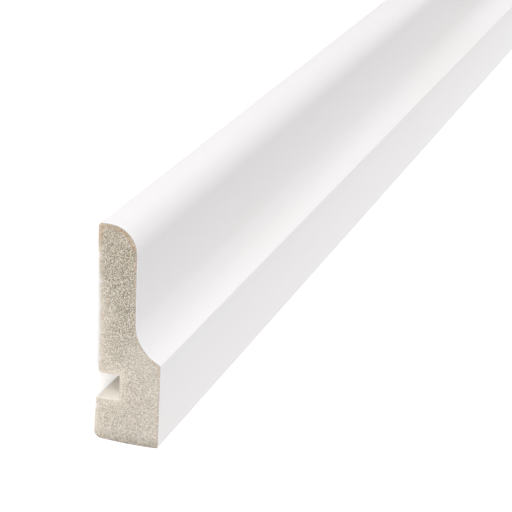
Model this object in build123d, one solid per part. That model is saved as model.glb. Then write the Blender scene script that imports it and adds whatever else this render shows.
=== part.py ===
from build123d import *
import math
import os

# A length of architrave in foamed plastic, extruded as one piece and sawn square at both ends.
# It lies on its back, as it would on a level floor.
# X runs along the length. Y runs across the face, from the thick edge to the nose.
# Z points out from the wall. The origin is on the wall plane, at the middle of the
# length and of the face. All sizes are in millimetres.

# Overall sizes
length = 2100.0
face_width = 70.0
base_thickness = 21.05

# Moulded face: a flat band on the thick base, a cove down to the thin leaf, and the round nose
band_width = 27.6
edge_crown = 0.25  # how far the thick edge bows out at its middle
leaf_thickness = 12.5
leaf_draft = 0.4  # degrees, by which the leaf thickens from the nose to the cove
cove_radius = 13.0
nose_radius = 8.6
arris_radius = 0.6
edge_radius = 1.0  # between the band and the thick edge

# Corners on the wall side
nose_back_radius = 1.35
base_back_radius = 2.3

# Back: a shallow hollow between two flat lands, so that only the lands meet the wall
base_land = 4.7
nose_land = 5.9
hollow_depth = 1.15

# Keying grooves for adhesive at an even pitch; the one that falls in the cable slot is left out
groove_first = 10.8
groove_pitch = 8.15
groove_count = 7
groove_width = 1.8
groove_depth = 0.55
groove_shoulder_radius = 1.2
groove_root_radius = 0.3

# Cable slot in the back of the base, with a flared lip on the nose side
slot_start = 14.0
slot_width = 8.0
slot_depth = 7.9
slot_root_radius = 0.5
slot_lip_radius = 0.5
slot_flare_depth = 2.6
slot_flare_width = 0.5


def corner(section, point):
    """The corner of the section nearest to a point."""
    return section.vertices().sort_by_distance(point)[0]


def hollow_height(y):
    """How far the back stands off the wall plane at a distance from the thick edge."""
    half_chord = (face_width - nose_land - base_land) / 2
    across = y - base_land - half_chord
    if abs(across) >= half_chord:
        return 0.0
    radius = (half_chord**2 + hollow_depth**2) / (2 * hollow_depth)
    return math.sqrt(radius**2 - across**2) - (radius - hollow_depth)


def moulded_section():
    """The section with its moulded face and corners, before the back is cut."""
    leaf_rise = math.tan(math.radians(leaf_draft))
    edge_back = Vector(edge_crown, 0)
    edge_middle = Vector(0, base_thickness / 2)
    edge_front = Vector(edge_crown, base_thickness)
    arris = Vector(band_width, base_thickness)
    nose_front = Vector(face_width, leaf_thickness)
    nose_back = Vector(face_width, 0)

    # The cove is tangent to the leaf and runs through the arris.
    along_leaf = Vector(-1, leaf_rise).normalized()
    off_leaf = Vector(leaf_rise, 1).normalized()
    to_arris = arris - nose_front
    arris_height = to_arris.dot(off_leaf)
    cove_reach = math.sqrt(2 * cove_radius * arris_height - arris_height**2)
    cove_foot = nose_front + along_leaf * (to_arris.dot(along_leaf) - cove_reach)

    outline = ThreePointArc(edge_back, edge_middle, edge_front)
    outline += Line(edge_front, arris)
    outline += RadiusArc(cove_foot, arris, cove_radius)
    outline += Polyline(cove_foot, nose_front, nose_back, edge_back)
    section = make_face(outline)
    for point, radius in (
        (nose_front, nose_radius),
        (nose_back, nose_back_radius),
        (edge_back, base_back_radius),
        (edge_front, edge_radius),
        (arris, arris_radius),
    ):
        section = fillet(corner(section, point), radius)
    return section


def cut_hollow(section):
    """Take the shallow hollow out of the back."""
    start = (base_land, 0)
    end = (face_width - nose_land, 0)
    return section - make_face(Line(start, end) + SagittaArc(start, end, hollow_depth))


def cut_slot(section):
    """Take the cable slot out of the back and ease its corners."""
    end = slot_start + slot_width
    mouth = end + slot_flare_width
    base_root = (slot_start, slot_depth)
    nose_root = (end, slot_depth)
    flare_start = (end, slot_flare_depth)
    nose_lip = (mouth, hollow_height(mouth))
    outline = Polyline(
        (slot_start, -slot_depth),
        base_root,
        nose_root,
        flare_start,
        nose_lip,
        (mouth, -slot_depth),
        (slot_start, -slot_depth),
    )
    section -= make_face(outline)
    for point, radius in (
        (base_root, slot_root_radius),
        (nose_root, slot_root_radius),
        (flare_start, slot_lip_radius),
        (nose_lip, slot_lip_radius),
        ((slot_start, hollow_height(slot_start)), slot_lip_radius),
    ):
        section = fillet(corner(section, point), radius)
    return section


def cut_grooves(section):
    """Take the keying grooves out of the back, each a V with eased shoulders and root."""
    half_width = groove_width / 2
    slot_low = slot_start - slot_lip_radius - half_width
    slot_high = slot_start + slot_width + slot_flare_width + slot_lip_radius + half_width
    for i in range(groove_count):
        middle = groove_first + i * groove_pitch
        if slot_low < middle < slot_high:
            continue
        root = (middle, hollow_height(middle) + groove_depth)
        low = (middle - half_width, hollow_height(middle - half_width))
        high = (middle + half_width, hollow_height(middle + half_width))
        outline = Polyline(low, root, high, (high[0], -groove_depth), (low[0], -groove_depth), low)
        section -= make_face(outline)
        for point, radius in (
            (root, groove_root_radius),
            (low, groove_shoulder_radius),
            (high, groove_shoulder_radius),
        ):
            section = fillet(corner(section, point), radius)
    return section


section = cut_grooves(cut_slot(cut_hollow(moulded_section())))
moulding = extrude(Plane.YZ * Pos(-face_width / 2, 0) * section, length / 2, both=True)

os.makedirs("parts", exist_ok=True)
export_step(moulding, "parts/architrave_moulding.step")
print("section", section.area, "faces", len(moulding.faces()), moulding.bounding_box())
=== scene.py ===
import math

import bpy
import numpy as np
from bpy.props import FloatProperty, FloatVectorProperty, IntProperty, PointerProperty
from bpy.types import Operator, Panel, PropertyGroup
from mathutils import Matrix, Vector


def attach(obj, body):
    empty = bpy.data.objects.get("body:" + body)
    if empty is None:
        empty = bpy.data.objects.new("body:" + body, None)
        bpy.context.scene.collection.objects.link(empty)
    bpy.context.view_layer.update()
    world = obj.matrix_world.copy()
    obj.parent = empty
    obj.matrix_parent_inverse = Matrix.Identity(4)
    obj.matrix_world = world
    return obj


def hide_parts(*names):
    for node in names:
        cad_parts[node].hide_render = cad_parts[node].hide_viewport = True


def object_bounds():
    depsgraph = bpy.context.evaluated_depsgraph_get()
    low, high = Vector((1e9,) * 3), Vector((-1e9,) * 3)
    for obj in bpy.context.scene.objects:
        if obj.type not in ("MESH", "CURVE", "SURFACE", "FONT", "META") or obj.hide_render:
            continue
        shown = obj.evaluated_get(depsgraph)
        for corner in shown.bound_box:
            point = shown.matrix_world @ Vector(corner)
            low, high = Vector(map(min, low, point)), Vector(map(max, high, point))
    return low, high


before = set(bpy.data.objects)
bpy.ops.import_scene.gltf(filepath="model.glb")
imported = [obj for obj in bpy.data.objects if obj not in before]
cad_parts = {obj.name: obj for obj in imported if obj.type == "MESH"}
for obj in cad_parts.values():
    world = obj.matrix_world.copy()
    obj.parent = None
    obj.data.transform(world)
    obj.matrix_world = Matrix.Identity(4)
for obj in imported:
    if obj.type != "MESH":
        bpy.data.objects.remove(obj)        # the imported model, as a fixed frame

bl_info = {
    "name": "Foamed Plastic Architrave",
    "version": (1, 0, 0),
    "blender": (4, 5, 0),
    "location": "3D View > Sidebar > Architrave",
    "description": "Dresses a sawn length of foamed plastic architrave and lights it on a pale floor",
    "category": "Object",
}

cad_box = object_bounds()
box_low, box_high = cad_box
MM = 0.001  # one millimetre, in metres
MOULDING = "architrave_moulding"
SKIN_FINISH, BACK_FINISH, FOAM_FINISH = range(3)  # the moulding's materials, in order
GROOVE_ROOT = 0.12  # rounding of a keying groove's root, as a share of its half width
GROOVE_SHOULDER = 0.35  # rounding of its shoulders, as a share of its depth
LATTICE = 256  # cells along each side of a noise's table, after which it repeats
SHARP_ANGLE = math.radians(35)


def size(name, description, default):
    """A length setting in metres."""
    return FloatProperty(name=name, description=description, default=default, min=0, unit="LENGTH")


def power(name, description, default):
    """A lamp's power setting, in watts."""
    return FloatProperty(name=name, description=description, default=default, min=0, unit="POWER")


def brightness(name, description, default):
    """A setting for even white light, at which 1 is white."""
    return FloatProperty(name=name, description=description, default=default, min=0)


def tint(name, description, default):
    """A colour setting."""
    return FloatVectorProperty(
        name=name, description=description, default=default, size=3, min=0, max=1, subtype="COLOR"
    )


class SectionSizes(PropertyGroup):
    """The sizes of the moulding's section, as in the part's own source."""

    length: size("Length", "Length between the sawn ends", box_high.x - box_low.x)
    face_width: size("Face Width", "From the thick edge to the nose", box_high.y - box_low.y)
    base_thickness: size("Base Thickness", "From the wall to the arris", box_high.z - box_low.z)
    band_width: size("Band Width", "Flat band on the base", 27.6 * MM)
    edge_crown: size("Edge Crown", "How far the thick edge bows out", 0.25 * MM)
    leaf_thickness: size("Leaf Thickness", "Thickness of the leaf at the nose", 12.5 * MM)
    leaf_draft: FloatProperty(
        name="Leaf Draft", description="Slope of the leaf", default=math.radians(0.4), subtype="ANGLE"
    )
    cove_radius: size("Cove Radius", "Radius of the cove between band and leaf", 13.0 * MM)
    nose_radius: size("Nose Radius", "Radius of the round nose", 8.6 * MM)
    arris_radius: size("Arris Radius", "Easing of the arris between band and cove", 0.6 * MM)
    edge_radius: size("Edge Radius", "Easing between the band and the thick edge", 1.0 * MM)
    nose_back_radius: size("Nose Back Radius", "Corner between nose and wall", 1.35 * MM)
    base_back_radius: size("Base Back Radius", "Corner between thick edge and wall", 2.3 * MM)
    base_land: size("Base Land", "Where the hollow starts, from the thick edge", 4.7 * MM)
    nose_land: size("Nose Land", "Where the hollow ends, from the nose", 5.9 * MM)
    hollow_depth: size("Hollow Depth", "Depth of the hollow in the back", 1.15 * MM)
    groove_first: size("First Groove", "First keying groove, from the thick edge", 10.8 * MM)
    groove_pitch: size("Groove Pitch", "Distance between keying grooves", 8.15 * MM)
    groove_count: IntProperty(name="Groove Count", description="Grooves at that pitch", default=7, min=1)
    groove_width: size("Groove Width", "Width of a keying groove", 1.8 * MM)
    groove_depth: size("Groove Depth", "Depth of a keying groove", 0.55 * MM)
    slot_start: size("Slot Start", "Slot's base side, from the thick edge", 14.0 * MM)
    slot_width: size("Slot Width", "Width of the cable slot", 8.0 * MM)
    slot_depth: size("Slot Depth", "Depth of the slot from the wall plane", 7.9 * MM)
    slot_root_radius: size("Slot Root Radius", "Rounding of the slot's roots", 0.5 * MM)
    slot_lip_radius: size("Slot Lip Radius", "Rounding of the slot's lips", 0.5 * MM)
    slot_flare_depth: size("Slot Flare Depth", "Where the nose side lip starts to flare", 2.6 * MM)
    slot_flare_width: size("Slot Flare Width", "How far that lip flares", 0.5 * MM)


class SawnEndSizes(PropertyGroup):
    """The grain and the roughness of the sawn ends."""

    mesh_step: size("Mesh Step", "Spacing of the mesh on the sawn ends", 0.19 * MM)
    pore_size: size("Pore Size", "Spacing of the open pores", 0.5 * MM)
    pore_depth: size("Pore Depth", "Depth of the deepest pores", 0.12 * MM)
    saw_roughness: size("Saw Roughness", "Height of the torn grain between pores", 0.04 * MM)
    skin: size("Skin", "Dense skin at the moulded face", 0.3 * MM)
    dense_back: size("Dense Back", "Dense border along the back and the slot", 0.9 * MM)
    eased_edge: size("Eased Edge", "Easing that the saw leaves on the skin", 0.11 * MM)
    ragged_edge: size("Ragged Edge", "Depth of the chips along the back's sawn edge", 0.2 * MM)
    seed: IntProperty(name="Seed", description="Changes the pores and chips", default=11, min=0)


class FinishColours(PropertyGroup):
    """The colours of the skin, of the raw back and of the foamed core."""

    skin: tint("Skin", "White skin of the moulded face", (0.868, 0.852, 0.862))
    raw_back: tint("Raw Back", "Extruded back and slot", (0.95, 0.905, 0.835))
    # Cut skin: a painted grey shade for the skin's eased edge in the saw cut
    cut_skin_shade: tint("Cut Skin", "Edge of the skin in the saw cut", (0.57, 0.55, 0.56))
    foam_light: tint("Foam Light", "Cell walls in the saw cut", (0.86, 0.81, 0.74))
    foam_mean: tint("Foam Mean", "Most of the saw cut", (0.675, 0.617, 0.535))
    # Open cells: a painted shade for their insides
    open_cell_shade: tint("Foam Dark", "Open cells in the saw cut", (0.20, 0.165, 0.12))
    foam_border: tint("Foam Border", "Dense border of the saw cut", (0.76, 0.68, 0.585))
    scorch: tint("Scorch", "Specks left by the saw near the nose", (0.45, 0.225, 0.07))


class StageSettings(PropertyGroup):
    """The floor, the lamps and the camera."""

    floor_size: size("Floor Size", "Side of the square floor", 90.0)
    floor: tint("Floor", "Pale floor", (0.82, 0.82, 0.82))
    near_glow: brightness("Near Glow", "White added to the floor beside the moulding", 0.57)
    far_glow: brightness("Far Glow", "White added to the floor where no lamp reaches", 0.7)
    glow_start: size("Glow Start", "Where the near glow ends, from the middle", 1.2)
    glow_end: size("Glow End", "Where the far glow starts, from the middle", 6.0)
    sky: brightness("Sky", "Even light from all round", 0.445)
    key: power("Key", "Lamp on the nose's side", 46.0)
    strip: power("Strip", "Long lamp close to the thick edge", 0.73)
    edge_fill: power("Edge Fill", "Lamp on the thick edge's side", 15.0)
    near_fill: power("Near Fill", "Lamp before the near sawn end", 38.0)
    far_fill: power("Far Fill", "Lamp before the far sawn end", 17.0)
    slot_fill: power("Slot Fill", "Lamp in the cable slot", 0.012)
    lens: FloatProperty(
        name="Lens", description="Focal length in millimetres", default=139.39, unit="CAMERA"
    )
    camera_before_end: size("Camera Before End", "Camera to the near sawn end, along X", 510.34 * MM)
    camera_aside: size("Camera Aside", "Camera to the middle of the face, along Y", 228.48 * MM)
    camera_height: size("Camera Height", "Camera over the floor", 206.5 * MM)
    camera_aim: FloatVectorProperty(
        name="Camera Aim",
        description="Line of sight",
        default=(0.89678, -0.34498, -0.27711),
        subtype="DIRECTION",
    )
    camera_up: FloatVectorProperty(
        name="Camera Up",
        description="Up in the picture",
        default=(0.31379, 0.93734, -0.15141),
        subtype="DIRECTION",
    )


def smooth_max(a, b, reach):
    """The larger of two arrays, joined by a parabola where they are closer than reach."""
    near = np.clip(1 - np.abs(a - b) / reach, 0, None)
    return np.maximum(a, b) + reach * near**2 / 4


def quarter(distance, radius):
    """Drop of a quarter round at a distance past its start: the radius less the circle's height there."""
    return radius - np.sqrt(radius**2 - np.clip(distance, 0, radius) ** 2)


def slot_end(s):
    """The slot's nose side, from the thick edge."""
    return s.slot_start + s.slot_width


def back_height(y, s):
    """Height of the back over the wall plane, at distances y from the thick edge. It is a circular hollow
    between two lands, plus a V in each groove, plus a quarter round at each corner and at the slot's base
    side lip. At the slot's nose side lip it is the larger of that and a sloping line."""
    half = (s.face_width - s.nose_land - s.base_land) / 2
    radius = (half**2 + s.hollow_depth**2) / (2 * s.hollow_depth)
    across = np.clip(y - s.base_land - half, -half, half)
    back = np.sqrt(radius**2 - across**2) - (radius - s.hollow_depth)

    turn = np.clip(np.round((y - s.groove_first) / s.groove_pitch), 0, s.groove_count - 1)
    middle = s.groove_first + turn * s.groove_pitch
    cut = (middle < s.slot_start - s.groove_width) | (middle > slot_end(s) + s.groove_width)
    away = np.hypot((y - middle) / (s.groove_width / 2), GROOVE_ROOT)
    back = back + cut * s.groove_depth * smooth_max(0 * y, 1 - away, GROOVE_SHOULDER)

    back = back + quarter(s.edge_crown + s.base_back_radius - y, s.base_back_radius)
    back = back + quarter(y - s.face_width + s.nose_back_radius, s.nose_back_radius)
    base_lip = quarter(y - s.slot_start + s.slot_lip_radius, s.slot_lip_radius)
    drop = s.slot_flare_depth - s.hollow_depth
    flare = s.slot_flare_depth - (y - slot_end(s)) * drop / s.slot_flare_width
    nose_lip = smooth_max(back, flare, s.slot_lip_radius)
    return np.where(y <= s.slot_start, back + base_lip, np.where(y >= slot_end(s), nose_lip, back))


def front_height(y, s):
    """Height of the moulded face over the wall plane, at distances y from the thick edge. It is the band's
    level with its corner rounded off, a circle that touches the band and the cove at the arris, the
    cove's circle tangent to the leaf's line and through the arris, the leaf's line and the nose's
    circle."""
    leaf_slope = math.tan(s.leaf_draft)
    band = s.base_thickness - quarter(s.edge_crown + s.edge_radius - y, s.edge_radius)
    leaf = s.leaf_thickness + (s.face_width - y) * leaf_slope

    square = math.hypot(1, leaf_slope)
    rise = (s.base_thickness - s.leaf_thickness - (s.face_width - s.band_width) * leaf_slope) / square
    reach = math.sqrt(2 * s.cove_radius * rise - rise**2)
    foot = s.band_width + (reach + rise * leaf_slope) / square
    foot_height = s.leaf_thickness + (s.face_width - foot) * leaf_slope
    centre = foot + s.cove_radius * leaf_slope / square
    centre_height = foot_height + s.cove_radius / square
    cove = centre_height - np.sqrt(s.cove_radius**2 - np.clip(centre - y, 0, s.cove_radius) ** 2)
    cove = np.where(y < foot, cove, leaf)

    between = s.cove_radius + s.arris_radius
    drop = centre_height - s.base_thickness + s.arris_radius
    band_end = centre - math.sqrt(between**2 - drop**2)
    cove_start = band_end + (centre - band_end) * s.arris_radius / between
    arris = s.base_thickness - quarter(y - band_end, s.arris_radius)
    face = np.where(y < band_end, band, np.where(y < cove_start, arris, cove))

    nose_start = s.face_width - s.nose_radius
    nose = leaf - quarter(y - nose_start, s.nose_radius)
    return np.where(y < nose_start, face, nose)


def split_height(y, s):
    """Height of the line that parts the back's columns from the front's. In the slot it is the slot's
    roof with a quarter round at each root. Elsewhere it is level with the start of those rounds, or at a
    share of the face's height where that is lower, as it is round the nose."""
    level = s.slot_depth - s.slot_root_radius
    low_share = 0.6
    root = quarter(s.slot_start + s.slot_root_radius - y, s.slot_root_radius)
    root = root + quarter(y - slot_end(s) + s.slot_root_radius, s.slot_root_radius)
    inside = (y >= s.slot_start) & (y <= slot_end(s))
    return np.where(inside, s.slot_depth - root, np.minimum(level, low_share * front_height(y, s)))


def spaced(start, end, step):
    """Evenly spaced distances from start to end, no further apart than step."""
    return np.linspace(start, end, max(2, math.ceil((end - start) / step) + 1))


def rounded(start, radius, step, opening):
    """Distances across a quarter round, even by angle: dense where it is steep, at its start if it opens
    and at its end if it closes."""
    angle = spaced(0, math.pi / 2, step / radius)
    return start + radius * (1 - np.cos(angle) if opening else np.sin(angle))


def section_rows(s, step):
    """Distances from the thick edge at which the section is cut into rows: even steps, closer where the
    outline is steep."""
    start, end = s.slot_start, slot_end(s)
    lip, root = s.slot_lip_radius, s.slot_root_radius
    mouth = end + s.slot_flare_width + lip
    nose = s.face_width - s.nose_radius
    stretches = (
        rounded(s.edge_crown, s.edge_radius, step, True),
        rounded(s.edge_crown, s.base_back_radius, step, True),
        spaced(s.edge_crown + s.base_back_radius, start - lip, step),
        rounded(start - lip, lip, step / 2, False),
        rounded(start, root, step / 2, True),
        spaced(start + root, end - root, step),
        rounded(end - root, root, step / 2, False),
        spaced(end, mouth, step / 3),
        spaced(mouth, s.band_width - s.arris_radius, step),
        spaced(s.band_width - s.arris_radius, s.band_width + s.arris_radius, step / 2),
        spaced(s.band_width + s.arris_radius, nose, step),
        rounded(nose, s.nose_radius, step, False),
    )
    return np.unique(np.round(np.concatenate(stretches), 9))


def section_grid(s, step):
    """The section as a grid of rows and columns, its cells, and its rim. A row is a chord from the back to
    the moulded face, level except near the thick edge, where it bends with the crown. Its columns part at
    the slot's roof, and rows in the slot have only the front's columns. Returns the points (y, z), the
    cells as four indices each, the rim's indices in order from the thick edge's back corner, and which
    of the rim's points lie on the moulded face."""
    rows = section_rows(s, step)
    back, split, front = back_height(rows, s), split_height(rows, s), front_height(rows, s)
    back_share, front_share = 0.9, 0.75  # columns to a step, where the base is thickest
    back_columns = round(split[0] / step * back_share)
    front_columns = round((s.base_thickness - s.slot_depth) / step * front_share)
    near = np.linspace(0, 1, back_columns, endpoint=False)
    far = np.linspace(0, 1, front_columns + 1)
    z = np.hstack(
        (
            back[:, None] + (split - back)[:, None] * near,
            split[:, None] + (front - split)[:, None] * far,
        )
    )
    across = (z - back[:, None]) / (front - back)[:, None]
    bend_reach = 5 * s.base_back_radius
    bend = np.clip(1 - (rows - s.edge_crown) / bend_reach, 0, 1)[:, None] ** 2
    y = rows[:, None] - s.edge_crown * (1 - (2 * across - 1) ** 2) * bend

    low = int(np.argmin(np.abs(rows - s.slot_start)))
    high = int(np.argmin(np.abs(rows - slot_end(s))))
    last = back_columns + front_columns
    used = np.ones(z.shape, bool)
    used[low + 1 : high, :back_columns] = False
    index = np.cumsum(used).reshape(z.shape) - 1
    cells = np.stack((index[:-1, :-1], index[:-1, 1:], index[1:, 1:], index[1:, :-1]), -1)
    solid = np.ones(cells.shape[:2], bool)
    solid[low:high, :back_columns] = False

    rim = np.concatenate(
        (
            index[0, :last],
            index[:-1, last],
            index[-1, last:0:-1],
            index[-1:high:-1, 0],
            index[high, :back_columns],
            index[high:low:-1, back_columns],
            index[low, back_columns:0:-1],
            index[low:0:-1, 0],
        )
    )
    moulded = np.arange(len(rim)) < last + len(rows) - 1 + last
    return np.stack((y[used], z[used]), -1), cells[solid], rim, moulded


def value_noise(points, spacing, seed):
    """Smooth noise from 0 to 1: random values on a square lattice, blended between its four nearest
    corners with an eased weight."""
    table = np.random.default_rng(seed).random((LATTICE, LATTICE))
    place = points / spacing
    corner = np.floor(place).astype(int)
    part = place - corner
    part = part * part * (3 - 2 * part)
    y0, z0 = corner[:, 0] % LATTICE, corner[:, 1] % LATTICE
    y1, z1 = (y0 + 1) % LATTICE, (z0 + 1) % LATTICE
    low = table[y0, z0] * (1 - part[:, 0]) + table[y1, z0] * part[:, 0]
    high = table[y0, z1] * (1 - part[:, 0]) + table[y1, z1] * part[:, 0]
    return low * (1 - part[:, 1]) + high * part[:, 1]


def pore_noise(points, spacing, seed):
    """Round pores, deepest at their middle and 0 at their rim: each cell of a square lattice holds one of
    them at a random place with a random radius, a quarter to three quarters of the spacing and more often
    small, and a point takes the deepest of the nine nearest. The widest are 1 deep, the smallest 0.4."""
    table = np.random.default_rng(seed).random((3, LATTICE, LATTICE))
    place = points / spacing
    corner = np.floor(place).astype(int)
    deepest = np.zeros(len(points))
    for step_y in (-1, 0, 1):
        for step_z in (-1, 0, 1):
            cell = corner + (step_y, step_z)
            at = (cell[:, 0] % LATTICE, cell[:, 1] % LATTICE)
            middle = cell + np.stack((table[0][at], table[1][at]), -1)
            width = table[2][at]
            away = np.linalg.norm(place - middle, axis=1) / (0.25 + 0.5 * width**2)
            bowl = np.sqrt(np.clip(1 - away**2, 0, None))
            deepest = np.maximum(deepest, bowl * (0.4 + 0.6 * width))
    return deepest


def nearest_on(points, outline):
    """Distance from each point to the nearest of the outline's points, and that one's index."""
    place = points.astype(np.float32)
    line = outline.astype(np.float32)
    square = (place[:, :1] - line[:, 0]) ** 2
    square += (place[:, 1:] - line[:, 1]) ** 2
    nearest = square.argmin(1)
    return np.sqrt(square[np.arange(len(points)), nearest]), nearest


def eased(value, start, end):
    """0 up to start, 1 past end, and a smooth rise between them."""
    part = np.clip((value - start) / (end - start), 0, 1)
    return part * part * (3 - 2 * part)


def scorch_specks(points, outline, inward, s, seed):
    """Specks, full at their middle and 0 past their rim, each with its own size and strength. A row of them
    follows the nose round, at uneven steps along it and about a millimetre inside, and a few faint ones
    lie anywhere in the leaf."""
    row_step = 1.05 * MM
    few = 12
    chance = np.random.default_rng(seed)
    beside = np.flatnonzero(outline[:, 0] > s.face_width - 0.85 * s.nose_radius)
    steps = np.linalg.norm(np.diff(outline[beside], axis=0), axis=1)
    way = np.concatenate(([0], np.cumsum(steps)))
    count = int(way[-1] / row_step)
    along = (np.arange(count) + chance.uniform(0.1, 0.9, count)) * way[-1] / count
    edge = beside[np.searchsorted(way, along)]
    row = outline[edge] + inward[edge] * chance.uniform(0.6, 1.6, (count, 1)) * MM
    deep = np.column_stack((chance.uniform(0.5, 0.95, few), chance.uniform(0.1, 0.9, few)))
    deep = deep * (s.face_width, s.leaf_thickness)
    middle = np.vstack((row, deep))
    radius = chance.uniform(0.18, 0.4, count + few) * MM
    strength = np.concatenate((chance.uniform(0.45, 1.0, count), chance.uniform(0.2, 0.5, few)))
    away = np.linalg.norm(points[:, None] - middle, axis=2) / radius
    return (strength * (1 - eased(away, 0.5, 1.4))).max(1)


def sawn_end(points, rim, moulded, s, e, seed):
    """The relief and the marks of one sawn end. Each point moves off the rim by an easing that fades with
    the distance, and sinks by the depth of its pores plus torn grain, both fading into the dense skin and
    border, and along the back by its chips. Returns the moved points, their depths and the marks that the
    saw cut's finish reads, each from 0 to 1. Some marks place painted shade: in the pores and on the cut
    skin's eased edge."""
    fade_width = 1.5 * MM
    thick_edge_darkening_width = 5 * MM
    paler_width = 4.5 * MM
    outline = points[rim]
    along = np.roll(outline, -1, 0) - np.roll(outline, 1, 0)
    inward = np.stack((along[:, 1], -along[:, 0]), -1)
    inward /= np.linalg.norm(inward, axis=1, keepdims=True)
    rim_distance, nearest = nearest_on(points, outline)
    front_distance = nearest_on(points, outline[moulded])[0]
    back_distance = nearest_on(points, outline[~moulded])[0]

    chips = value_noise(outline, 0.7 * MM, seed + 1) * value_noise(outline, 2.4 * MM, seed + 2)
    easing = np.where(moulded, e.eased_edge, e.eased_edge * 0.5 + e.ragged_edge * chips)
    fade = np.clip(1 - rim_distance / fade_width, 0, 1) ** 2
    moved = points + inward[nearest] * (easing[nearest] * fade)[:, None]

    pore_relief_and_shade = np.maximum(
        pore_noise(points, e.pore_size, seed + 3), 0.8 * pore_noise(points, 1.7 * e.pore_size, seed + 4)
    )
    dense = eased(front_distance, 0.3 * e.skin, 2 * e.skin) * eased(back_distance, 0.1 * MM, e.dense_back)
    torn = value_noise(points, 0.45 * MM, seed + 5)
    depth = e.pore_depth * pore_relief_and_shade * dense + e.saw_roughness * torn * (0.15 + 0.85 * dense)
    depth += e.ragged_edge * 0.6 * (chips * ~moulded)[nearest] * fade

    nose_side = eased(points[:, 0], s.face_width - 1.1 * s.nose_radius, s.face_width - 0.7 * s.nose_radius)
    stain = 1 - eased(rim_distance, 0.8 * MM, 1.9 * MM)
    corner_distance = np.hypot(points[:, 0] - s.face_width, points[:, 1])
    stain = nose_side * np.maximum(stain, 1 - eased(corner_distance, 1.5 * MM, 5.0 * MM))
    # Darker towards the thick edge: darkest within a fraction of a millimetre of it, fading out over a few
    # millimetres
    edge_distance = points[:, 0] - outline[:, 0].min()
    thick_edge_darkening = 1 - 0.38 * eased(edge_distance, 0.2 * MM, 0.6 * MM)
    thick_edge_darkening = thick_edge_darkening - 0.62 * eased(edge_distance, 0, thick_edge_darkening_width)
    coarse = eased(points[:, 0], 0.26 * s.face_width, s.face_width)
    marks = {
        "coarse": coarse,
        "near_skin": 1 - eased(front_distance, 0.5 * MM, 1.1 * MM),
        # Painted shade in the pores, by their depth
        "pore_relief_and_shade": pore_relief_and_shade * dense,
        # Painted grey shade on the cut skin's eased edge
        "cut_skin_shade": 1 - eased(front_distance, 0.5 * e.skin, e.skin),
        "dense_border": np.exp(-back_distance / (1.3 * e.dense_back)),
        "paler_back": (1 - coarse) * np.exp(-back_distance / paler_width),
        "scorch": scorch_specks(points, outline, inward, s, seed + 6),
        "stain": stain,
        # Darker towards the thick edge
        "thick_edge_darkening": thick_edge_darkening,
    }
    return moved, depth, marks


def moulding_mesh(s, e):
    """One closed mesh of the moulding. Both sawn ends are the section's grid, sunk by their relief. Between
    them the rim is carried along the length: from each end's eased rim to the true outline just behind it,
    and on in long spans. The bake's own map gives the sawn ends most of its room."""
    points, cells, rim, moulded = section_grid(s, e.mesh_step)
    half = s.length / 2
    near, near_depth, near_marks = sawn_end(points, rim, moulded, s, e, e.seed)
    far, far_depth, far_marks = sawn_end(points, rim, moulded, s, e, e.seed + 100)
    count, around = len(points), len(rim)

    outline = points[rim]
    behind = 0.12 * MM  # from an eased rim to the true outline
    spans = np.array((0.6, 4, 60, 350, 700)) * MM  # the next rings, from the sawn end
    inner = np.concatenate((spans - half, half - spans[::-1]))
    stations = [near_depth[rim] + behind - half]
    stations += [np.full(around, x) for x in inner]
    stations += [half - behind - far_depth[rim]]
    walls = [np.column_stack((x, outline)) for x in stations]
    vertices = np.vstack(
        [np.column_stack((near_depth - half, near)), np.column_stack((half - far_depth, far)), *walls]
    )
    vertices[:, 1] += box_low.y

    rings = [2 * count + i * around + np.arange(around) for i in range(len(stations))]
    rings = np.array([rim, *rings, rim + count])
    ahead = np.roll(rings, -1, 1)
    sides = np.stack((rings[:-1], rings[1:], ahead[1:], ahead[:-1]), -1).reshape(-1, 4)
    faces = np.vstack((cells, cells[:, ::-1] + count, sides))

    raw = ~moulded & (outline[:, 0] > s.edge_crown + s.base_back_radius)
    raw &= outline[:, 0] < s.face_width - s.nose_back_radius
    around_finish = np.where(raw, BACK_FINISH, SKIN_FINISH)
    finish = np.concatenate(
        (np.full(2 * len(cells), FOAM_FINISH), np.tile(around_finish, len(rings) - 1))
    )
    marks = {name: np.concatenate((near_marks[name], far_marks[name])) for name in near_marks}

    mesh = bpy.data.meshes.new(MOULDING)
    mesh.from_pydata(vertices.tolist(), [], faces.tolist())
    mesh.polygons.foreach_set("material_index", finish.astype(np.int32))
    for name, values in marks.items():
        layer = mesh.attributes.new(name, "FLOAT", "POINT")
        padded = np.zeros(len(vertices), np.float32)
        padded[: 2 * count] = values
        layer.data.foreach_set("value", padded)
    lay_out_map(mesh, vertices, cells, count, outline, rings, s)
    mesh.update()
    mesh.shade_smooth()
    mesh.set_sharp_from_angle(angle=SHARP_ANGLE)
    return mesh


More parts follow.
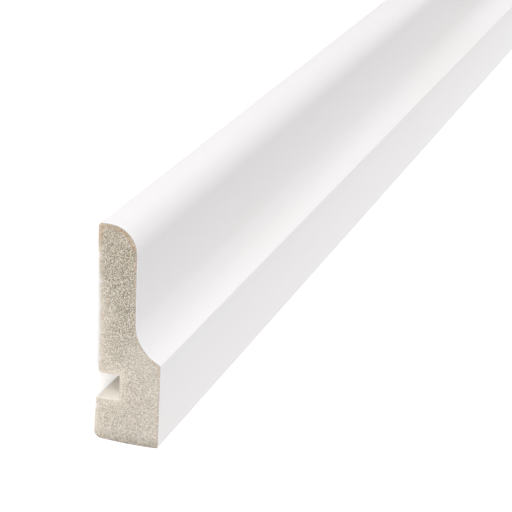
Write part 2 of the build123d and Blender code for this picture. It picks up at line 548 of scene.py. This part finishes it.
def lay_out_map(mesh, vertices, cells, count, outline, rings, s):
    """Lays the surface out flat for the bake. A sawn end's place in the map is its own place across the
    section, at a scale that fills the map's width, one end above the other. A point of the walls lies at
    its share of the length and of the way round the section, in the strip that is left."""
    margin = 0.01
    scale = (1 - 2 * margin) / s.face_width
    height = s.base_thickness * scale
    place = (vertices[:, 1:] - (box_low.y, 0)) * scale + margin
    place[count : 2 * count, 1] += height + margin
    ends = np.concatenate((cells, cells[:, ::-1] + count)).ravel()

    steps = np.linalg.norm(np.roll(outline, -1, 0) - outline, axis=1)
    way = np.concatenate(([0], np.cumsum(steps))) / steps.sum()
    floor = 2 * (height + margin) + margin
    up = floor + way * (1 - margin - floor)
    along = margin + (vertices[rings, 0] / s.length + 0.5) * (1 - 2 * margin)
    ahead = np.roll(along, -1, 1)
    u = np.stack((along[:-1], along[1:], ahead[1:], ahead[:-1]), -1)
    low = np.broadcast_to(up[:-1], u.shape[:2])
    high = np.broadcast_to(up[1:], u.shape[:2])
    v = np.stack((low, low, high, high), -1)
    walls = np.stack((u, v), -1).reshape(-1, 2)
    layer = mesh.uv_layers.new(name="OFBake")
    layer.uv.foreach_set("vector", np.vstack((place[ends], walls)).astype(np.float32).ravel())


class Nodes:
    """A node tree, with short ways to add and join nodes."""

    def __init__(self, tree):
        self.tree = tree

    def add(self, kind, **settings):
        """A new node with its properties set."""
        node = self.tree.nodes.new(kind)
        for name, value in settings.items():
            setattr(node, name, value)
        return node

    def join(self, source, target):
        """Links an output, or sets a plain value."""
        if isinstance(source, bpy.types.NodeSocket):
            self.tree.links.new(source, target)
        else:
            target.default_value = source

    def range(self, value, low, high, to_low=0.0, to_high=1.0, rise="LINEAR"):
        """A value's range carried over to another, held at its ends."""
        node = self.add("ShaderNodeMapRange", interpolation_type=rise)
        for source, name in (
            (value, "Value"),
            (low, "From Min"),
            (high, "From Max"),
            (to_low, "To Min"),
            (to_high, "To Max"),
        ):
            self.join(source, node.inputs[name])
        return node.outputs["Result"]

    def maths(self, operation, a, b):
        """Arithmetic on two values."""
        node = self.add("ShaderNodeMath", operation=operation)
        self.join(a, node.inputs[0])
        self.join(b, node.inputs[1])
        return node.outputs["Value"]

    def seen_directly(self, otherwise, directly):
        """A strength for rays from the camera or sent out by gloss or clear surfaces, and another for
        the rest."""
        path = self.add("ShaderNodeLightPath").outputs
        seen = self.maths("MAXIMUM", path["Is Camera Ray"], path["Is Glossy Ray"])
        seen = self.maths("MAXIMUM", seen, path["Is Transmission Ray"])
        return self.range(seen, 0, 1, otherwise, directly)


class Finish(Nodes):
    """A material, with short ways to add patterns on the object's own coordinates."""

    def __init__(self, name):
        self.material = bpy.data.materials.new(name)
        self.material.use_nodes = True
        super().__init__(self.material.node_tree)
        self.shader = self.tree.nodes["Principled BSDF"]
        self.place = self.add("ShaderNodeTexCoord").outputs["Object"]

    def stretched(self, x, y, z):
        """The object's own coordinates, scaled along each axis."""
        node = self.add("ShaderNodeMapping")
        self.join(self.place, node.inputs["Vector"])
        node.inputs["Scale"].default_value = (x, y, z)
        return node.outputs["Vector"]

    def noise(self, spacing, detail, roughness, place=None):
        """Noise whose features are about that many metres apart."""
        node = self.add("ShaderNodeTexNoise")
        self.join(place or self.place, node.inputs["Vector"])
        node.inputs["Scale"].default_value = 1 / spacing
        node.inputs["Detail"].default_value = detail
        node.inputs["Roughness"].default_value = roughness
        return node.outputs["Fac"]

    def scatter(self, spacing):
        """The outputs of a scatter of cells that are about that many metres apart."""
        node = self.add("ShaderNodeTexVoronoi")
        self.join(self.place, node.inputs["Vector"])
        node.inputs["Scale"].default_value = 1 / spacing
        return node.outputs

    def cells(self, spacing):
        """Distance to the middle of the nearest cell of a scatter, as a share of the spacing."""
        return self.scatter(spacing)["Distance"]

    def grains(self, spacing):
        """Two random values for each cell of a scatter, the same all over the cell."""
        parts = self.add("ShaderNodeSeparateColor")
        self.join(self.scatter(spacing)["Color"], parts.inputs["Color"])
        return parts.outputs["Red"], parts.outputs["Green"]

    def mark(self, name):
        """A value that the mesh carries at each of its points."""
        return self.add("ShaderNodeAttribute", attribute_name=name).outputs["Fac"]

    def mix(self, share, a, b, how="MIX"):
        """A blend of two colours."""
        node = self.add("ShaderNodeMix", data_type="RGBA", blend_type=how)
        for source, name in ((share, "Factor_Float"), (a, "A_Color"), (b, "B_Color")):
            socket = next(i for i in node.inputs if i.identifier == name)
            self.join((*source, 1.0) if isinstance(source, (tuple, list)) else source, socket)
        return next(o for o in node.outputs if o.identifier == "Result_Color")

    def tinted(self, share, colour, by):
        """A colour multiplied by another, by a share."""
        return self.mix(share, colour, by, "MULTIPLY")

    def bump(self, height, distance, strength=1.0, under=None):
        """Relief of that many metres, over another relief if there is one."""
        node = self.add("ShaderNodeBump")
        self.join(height, node.inputs["Height"])
        node.inputs["Distance"].default_value = distance
        node.inputs["Strength"].default_value = strength
        if under is not None:
            self.join(under, node.inputs["Normal"])
        return node.outputs["Normal"]

    def set(self, **sockets):
        """Joins sources to the shader's sockets, named with underscores for spaces."""
        for name, source in sockets.items():
            self.join(source, self.shader.inputs[name.replace("_", " ")])
        return self.material


def shaded(colour, by):
    """A colour times another, channel by channel."""
    return tuple(a * b for a, b in zip(colour, by))


def satin_skin(colours):
    """White skin as it leaves the die, with fine lines along the length, a faint unevenness and a satin
    sheen."""
    f = Finish("satin_white_skin")
    lines = f.noise(0.45 * MM, 3.0, 0.6, f.stretched(0.004, 1, 1))
    waves = f.noise(30 * MM, 2.0, 0.5, f.stretched(0.12, 1, 1))
    grain = f.noise(0.25 * MM, 2.0, 0.6)
    white = tuple(colours.skin)
    greyed = shaded(white, (0.965, 0.965, 0.965))
    warm = shaded(white, (1.01, 1.0, 0.985))
    colour = f.mix(f.range(waves, 0.35, 0.7), white, warm)
    colour = f.mix(f.range(lines, 0.55, 0.8, 0.0, 0.5), colour, greyed)
    sheen = f.range(waves, 0.3, 0.7, 0.5, 0.58)
    sheen = f.maths("ADD", sheen, f.range(grain, 0.3, 0.7, -0.03, 0.03))
    relief = f.bump(lines, 0.004 * MM, 1.0, f.bump(grain, 0.002 * MM))
    return f.set(Base_Color=colour, Roughness=sheen, Normal=relief, Specular_IOR_Level=0.3)


def raw_back(colours):
    """Back and slot, cream and duller, with drag lines along the length and small pits, each with a painted
    shade at its middle.
    """
    f = Finish("raw_cream_back")
    lines = f.noise(0.6 * MM, 3.0, 0.6, f.stretched(0.01, 1, 1))
    mottle = f.noise(6 * MM, 3.0, 0.6, f.stretched(0.3, 1, 1))
    pits = f.cells(1.1 * MM)
    cream = tuple(colours.raw_back)
    deep = shaded(cream, (0.9, 0.87, 0.82))
    colour = f.mix(f.range(mottle, 0.35, 0.7, 0.0, 0.6), cream, deep)
    # Painted shade in the middle of each pit
    colour = f.mix(f.range(pits, 0.0, 0.16, 0.45, 0.0), colour, deep)
    relief = f.bump(f.range(pits, 0.0, 0.25), 0.02 * MM, 1.0, f.bump(lines, 0.015 * MM))
    return f.set(Base_Color=colour, Roughness=f.range(mottle, 0.3, 0.7, 0.58, 0.7), Normal=relief)


def sawn_foam(colours):
    """Saw cut through the foam: light cell walls, with a painted shade for the open cells that is deepest
    in the pores, coarser and darker in the thin leaf, smoother and paler along the dense border, with a
    painted grey shade on the cut skin's eased edge, specked with scorch near the nose and darker towards
    the thick edge."""
    f = Finish("sawn_beige_foam")
    light, mean, cell_shade = tuple(colours.foam_light), tuple(colours.foam_mean), tuple(colours.open_cell_shade)
    scorched = tuple(colours.scorch)
    warm = tuple(0.5 * (a + b) for a, b in zip(mean, scorched))
    thick_edge_darker = shaded(cell_shade, (0.9, 0.9, 0.9))
    yellower, bluer = (1.0, 0.9, 0.74), (0.9, 0.96, 0.98)
    leaf_shade, back_shade = (0.935, 0.92, 0.887), (1.225, 1.215, 1.21)
    coarse = f.mark("coarse")
    tone, hue = f.grains(0.17 * MM)
    spots, blots = f.grains(0.36 * MM)
    torn = f.noise(0.17 * MM, 2.0, 0.7)
    clumps = f.noise(0.9 * MM, 2.0, 0.6)
    cloud = f.noise(14 * MM, 2.0, 0.5)
    pits = f.cells(0.42 * MM)

    depth = f.range(coarse, 0, 0.6, 0.55, 1.0)
    colour = f.mix(f.maths("MULTIPLY", f.range(tone, 0.48, 0.62), depth), mean, light)
    # Painted shade of the open cells: scattered grains and the middle of each pit turn toward it
    colour = f.mix(f.maths("MULTIPLY", f.range(tone, 0.42, 0.25), depth), colour, cell_shade)
    colour = f.mix(f.maths("MULTIPLY", f.range(pits, 0.3, 0.43, 1.0, 0.0), depth), colour, cell_shade)
    # Painted shade in the pores, by their depth
    colour = f.mix(f.maths("MULTIPLY", f.mark("pore_relief_and_shade"), 0.2), colour, cell_shade)
    colour = f.mix(f.range(cloud, 0.4, 0.65, 0.0, 0.2), colour, light)
    hued = f.range(coarse, 0, 1, 0.3, 0.9)
    colour = f.tinted(f.maths("MULTIPLY", f.range(hue, 0.6, 0.8), hued), colour, yellower)
    colour = f.tinted(f.maths("MULTIPLY", f.range(hue, 0.4, 0.2), hued), colour, bluer)
    colour = f.tinted(coarse, colour, leaf_shade)
    colour = f.tinted(f.mark("paler_back"), colour, back_shade)
    border = f.maths("MULTIPLY", f.mark("dense_border"), f.range(clumps, 0.35, 0.6, 0.7, 1.0))
    colour = f.mix(border, colour, tuple(colours.foam_border))

    reddish = f.maths("MULTIPLY", f.mark("near_skin"), f.range(spots, 0.6, 0.72, 0.0, 0.9))
    colour = f.mix(reddish, colour, warm)
    stain = f.maths("MULTIPLY", f.mark("stain"), f.range(clumps, 0.4, 0.6, 0.1, 0.6))
    colour = f.mix(stain, colour, warm)
    colour = f.mix(f.mark("scorch"), colour, scorched)
    # Darker towards the thick edge
    thick_edge_darkening = f.maths("MULTIPLY", f.mark("thick_edge_darkening"), f.range(blots, 0.35, 0.65, 1.0, 0.35))
    colour = f.mix(thick_edge_darkening, colour, thick_edge_darker)
    # Painted grey shade on the cut skin's eased edge
    colour = f.mix(f.maths("MULTIPLY", f.mark("cut_skin_shade"), 0.85), colour, tuple(colours.cut_skin_shade))
    relief = f.bump(torn, 0.1 * MM, 0.8)
    return f.set(Base_Color=colour, Roughness=f.range(torn, 0.3, 0.7, 0.75, 0.9), Normal=relief)


def pale_floor(stage):
    """Pale floor. Rays from the camera, and rays that gloss sends out, see some white added: a little
    beside the moulding, where its shadow stays, and more with the distance, where no lamp reaches."""
    f = Finish("pale_floor")
    f.tree.nodes.remove(f.shader)
    matt = f.add("ShaderNodeBsdfDiffuse")
    matt.inputs["Color"].default_value = (*stage.floor, 1)
    away = f.add("ShaderNodeVectorMath", operation="LENGTH")
    f.join(f.stretched(0.5, 1, 1), away.inputs[0])
    reach = (stage.glow_start, stage.glow_end, stage.near_glow, stage.far_glow)
    added = f.range(away.outputs["Value"], *reach, "SMOOTHSTEP")
    glow = f.add("ShaderNodeEmission")
    f.join(f.seen_directly(0.0, added), glow.inputs["Strength"])
    both = f.add("ShaderNodeAddShader")
    f.join(matt.outputs["BSDF"], both.inputs[0])
    f.join(glow.outputs["Emission"], both.inputs[1])
    f.join(both.outputs["Shader"], f.tree.nodes["Material Output"].inputs["Surface"])
    return f.material


def white_sky(stage):
    """Even light from all round, which rays from the camera see as white."""
    world = bpy.data.worlds.new("white_sky")
    world.use_nodes = True
    n = Nodes(world.node_tree)
    background = n.tree.nodes["Background"]
    background.inputs["Color"].default_value = (1, 1, 1, 1)
    n.join(n.seen_directly(stage.sky, 1.0), background.inputs["Strength"])
    return world


def facing(back, up):
    """A rotation whose Z axis is back and whose Y axis is as near to up as it can be."""
    z = Vector(back).normalized()
    x = Vector(up).cross(z).normalized()
    return Matrix((x, z.cross(x), z)).transposed().to_4x4()


def soft_lamp(name, place, target, width, length, watts):
    """A flat lamp that faces a point from a place, with its length along the moulding where it can be. No
    ray of the camera sees it."""
    lamp = bpy.data.lights.new(name, "AREA")
    lamp.shape = "RECTANGLE"
    lamp.size = width
    lamp.size_y = length
    lamp.energy = watts
    holder = bpy.data.objects.new(name, lamp)
    bpy.context.collection.objects.link(holder)
    along = (1, 0, 0.01)
    holder.matrix_world = Matrix.Translation(place) @ facing(Vector(place) - Vector(target), along)
    holder.visible_camera = False


class ARCHITRAVE_OT_moulding(Operator):
    """Builds the moulding with its sawn ends and dresses it"""

    bl_idname = "architrave.moulding"
    bl_label = "Build Moulding"

    def execute(self, context):
        scene = context.scene
        mesh = moulding_mesh(scene.architrave_section, scene.architrave_sawn_end)
        colours = scene.architrave_colours
        for material in (satin_skin(colours), raw_back(colours), sawn_foam(colours)):
            mesh.materials.append(material)
        piece = bpy.data.objects.new("dressed_moulding", mesh)
        context.collection.objects.link(piece)
        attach(piece, "root")
        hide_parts(MOULDING)
        return {"FINISHED"}


class ARCHITRAVE_OT_stage(Operator):
    """Lays the floor and sets the sky, the lamps and the camera"""

    bl_idname = "architrave.stage"
    bl_label = "Set Stage"

    def execute(self, context):
        scene, stage = context.scene, context.scene.architrave_stage
        side = stage.floor_size / 2
        mesh = bpy.data.meshes.new("floor")
        corners = [(-side, -side, 0), (side, -side, 0), (side, side, 0), (-side, side, 0)]
        mesh.from_pydata(corners, [], [(0, 1, 2, 3)])
        mesh.materials.append(pale_floor(stage))
        floor = bpy.data.objects.new("floor", mesh)
        context.collection.objects.link(floor)

        scene.world = white_sky(stage)

        # Each lamp's place and the point that it faces, its width and length, and its power.
        soft_lamp("nose_side_lamp", (0, 3.4, 0.5), (0, 0, 0), 0.9, 9.0, stage.key)
        soft_lamp("thick_edge_lamp", (0, -0.065, 0.10), (0, 0, 0), 0.04, 4.0, stage.strip)
        soft_lamp("edge_side_lamp", (0, -3.4, 0.5), (0, 0, 0), 0.9, 9.0, stage.edge_fill)
        soft_lamp("near_end_lamp", (-2.9, 1.7, 0.5), (-1.0, 0, 0), 1.2, 1.2, stage.near_fill)
        soft_lamp("far_end_lamp", (3.2, 0.4, 0.6), (1.0, 0, 0), 1.2, 1.2, stage.far_fill)
        # The last one lies on the floor in the slot and faces up. It stands for the light that reaches
        # the slot's open side in the photo, where the moulding doesn't lie on its back.
        soft_lamp("slot_lamp", (0, -0.017, 0.0004), (0, -0.017, 1), 0.006, 2.09, stage.slot_fill)

        lens = bpy.data.cameras.new("camera")
        lens.lens = stage.lens
        lens.clip_end = 200  # past the floor's far corner
        camera = bpy.data.objects.new("camera", lens)
        context.collection.objects.link(camera)
        place = Vector((box_low.x - stage.camera_before_end, stage.camera_aside, stage.camera_height))
        camera.matrix_world = Matrix.Translation(place) @ facing(-Vector(stage.camera_aim), stage.camera_up)
        scene.camera = camera
        scene.view_settings.view_transform = "Standard"
        return {"FINISHED"}


class ARCHITRAVE_PT_panel(Panel):
    """Lists the pieces and their settings in the sidebar"""

    bl_idname = "ARCHITRAVE_PT_panel"
    bl_label = "Architrave"
    bl_space_type = "VIEW_3D"
    bl_region_type = "UI"
    bl_category = "Architrave"

    def draw(self, context):
        for group, operator in (
            ("architrave_section", None),
            ("architrave_sawn_end", None),
            ("architrave_colours", ARCHITRAVE_OT_moulding),
            ("architrave_stage", ARCHITRAVE_OT_stage),
        ):
            box = self.layout.box()
            settings = getattr(context.scene, group)
            for name in settings.__annotations__:
                box.prop(settings, name)
            if operator:
                box.operator(operator.bl_idname)


GROUPS = {
    "architrave_section": SectionSizes,
    "architrave_sawn_end": SawnEndSizes,
    "architrave_colours": FinishColours,
    "architrave_stage": StageSettings,
}
CLASSES = (*GROUPS.values(), ARCHITRAVE_OT_moulding, ARCHITRAVE_OT_stage, ARCHITRAVE_PT_panel)


def register():
    for cls in CLASSES:
        bpy.utils.register_class(cls)
    for name, group in GROUPS.items():
        setattr(bpy.types.Scene, name, PointerProperty(type=group))


def unregister():
    for name in GROUPS:
        delattr(bpy.types.Scene, name)
    for cls in reversed(CLASSES):
        bpy.utils.unregister_class(cls)


def main():
    register()
    bpy.ops.architrave.moulding()
    bpy.ops.architrave.stage()


if __name__ == "__main__":
    main()
